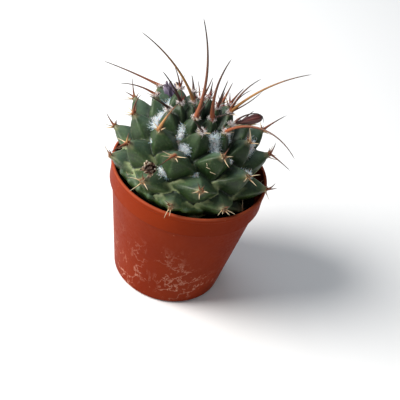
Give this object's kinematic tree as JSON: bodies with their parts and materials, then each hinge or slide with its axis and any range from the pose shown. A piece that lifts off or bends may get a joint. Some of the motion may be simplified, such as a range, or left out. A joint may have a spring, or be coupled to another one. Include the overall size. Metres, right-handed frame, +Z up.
{
  "type": "potted mammillaria karwinskiana cactus",
  "caption": "Small globular cactus with blunt keeled tubercles and long curved spines, in a plain tapered nursery pot filled with soil.",
  "frame": {"origin": "centre of the pot's underside, on the surface it stands on", "axes": "+Z up along the pot's axis; the viewer stands on the -Y side, with +X to the right"},
  "size_m": [0.0728, 0.0659, 0.1072],
  "materials": {
    "pot_plastic": "thin moulded plastic, slightly satin, terracotta colour, with pale scuffs",
    "soil": "dark damp potting mix, loose and matt",
    "cactus_skin": "dark blue-green waxy skin, paler and yellower in the lower furrows",
    "fruit_skin": "smooth dark red skin",
    "dry_flower": "dry papery brown",
    "faded_petals": "faded lilac, thin and dry"
  },
  "bodies": {
    "root": {"pot": "pot_plastic", "soil": "soil", "cactus": "cactus_skin", "red_fruit": "fruit_skin", "withered_flower": "dry_flower", "old_flower": "faded_petals"}
  },
  "joints": []
}
